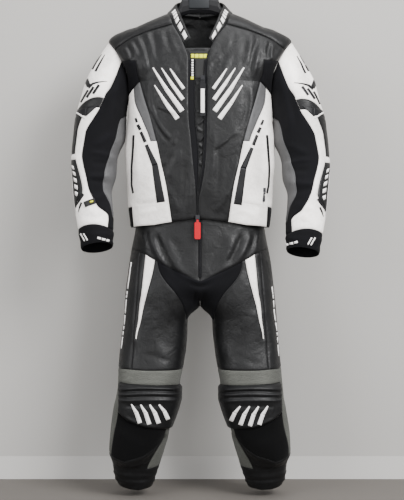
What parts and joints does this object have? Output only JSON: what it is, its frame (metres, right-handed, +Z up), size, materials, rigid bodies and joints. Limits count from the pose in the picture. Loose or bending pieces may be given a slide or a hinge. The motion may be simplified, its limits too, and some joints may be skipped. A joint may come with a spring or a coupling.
{
  "type": "motorcycle race suit on a hanger",
  "caption": "Two-piece leather motorcycle race suit, black, white and grey, jacket open over its trousers, hanging on a contoured hanger.",
  "frame": {"origin": "inner top of the hanger's hook, where it hangs on a rail", "axes": "+Z up, the suit's front faces -Y, +X to the right seen from the front"},
  "size_m": [0.7808, 0.2669, 1.6407],
  "materials": {
    "black_leather": "grained cowhide, semi-sheen",
    "white_leather": "smooth grained cowhide",
    "grey_leather": "smooth grained cowhide",
    "grey_stretch": "ribbed stretch weave",
    "black_stretch": "matte stretch weave",
    "velour": "looped velour",
    "zip_tape": "woven tape",
    "red_rubber": "satin rubber",
    "pull_plastic": "moulded",
    "label": "woven label",
    "hanger_plastic": "satin moulded",
    "metal": "dark plated"
  },
  "bodies": {
    "root": {"ankle_leather_left": "black_leather", "ankle_leather_right": "black_leather", "collar": "black_leather", "crotch_stretch": "black_stretch", "cuff_left": "black_stretch", "cuff_right": "black_stretch", "hanger": "hanger_plastic", "hanger_hook": "metal", "hem_elastic": "black_stretch", "inlay_lower_left": "black_leather", "inlay_lower_right": "black_leather", "inlay_upper_left": "black_leather", "inlay_upper_right": "black_leather", "jacket_back": "black_leather", "jacket_front_left": "black_leather", "jacket_front_right": "black_leather", "knee_pad_left": "black_leather", "knee_pad_right": "black_leather", "knee_stretch_left": "grey_stretch", "knee_stretch_right": "grey_stretch", "neck_label": "label", "pocket_slider": "metal", "pocket_zip_left": "zip_tape", "pocket_zip_right": "zip_tape", "side_grey_left": "grey_leather", "side_grey_right": "grey_leather", "side_white_left": "white_leather", "side_white_right": "white_leather", "sleeve_back_left": "black_leather", "sleeve_back_right": "black_leather", "sleeve_cap_left": "white_leather", "sleeve_cap_right": "white_leather", "sleeve_chevron_left": "black_leather", "sleeve_chevron_right": "black_leather", "sleeve_grey_left": "grey_leather", "sleeve_grey_right": "grey_leather", "sleeve_stretch_left": "black_stretch", "sleeve_stretch_right": "black_stretch", "sleeve_white_left": "white_leather", "sleeve_white_right": "white_leather", "thigh_front_left": "black_leather", "thigh_front_right": "black_leather", "thigh_outer_left": "black_leather", "thigh_outer_right": "black_leather", "thigh_wedge_left": "white_leather", "thigh_wedge_right": "white_leather", "trouser_yoke_left": "black_leather", "trouser_yoke_right": "black_leather", "underarm_gusset_left": "black_stretch", "underarm_gusset_right": "black_stretch", "upper_slider": "metal", "velour_panel_left": "velour", "velour_panel_right": "velour", "wind_flap": "black_leather", "zip_slider": "metal", "zip_tape_left": "zip_tape", "zip_tape_right": "zip_tape"},
    "main_pull": {"zip_pull_red": "red_rubber"},
    "hanging_pull": {"long_pull": "pull_plastic"},
    "side_pull": {"pocket_pull": "metal"}
  },
  "joints": [
    {"name": "main_pull_swing", "type": "hinge", "parent": "root", "child": "main_pull", "pos_m": [-0.007, -0.117, -0.824], "axis": [-1, 0, 0], "range_deg": [0, 110]},
    {"name": "hanging_pull_swing", "type": "hinge", "parent": "root", "child": "hanging_pull", "pos_m": [0.008, -0.129, -0.415], "axis": [-1, 0, 0], "range_deg": [0, 110]},
    {"name": "side_pull_swing", "type": "hinge", "parent": "root", "child": "side_pull", "pos_m": [0.19, -0.08, -0.742], "axis": [-1, 0, 0], "range_deg": [0, 110]}
  ]
}
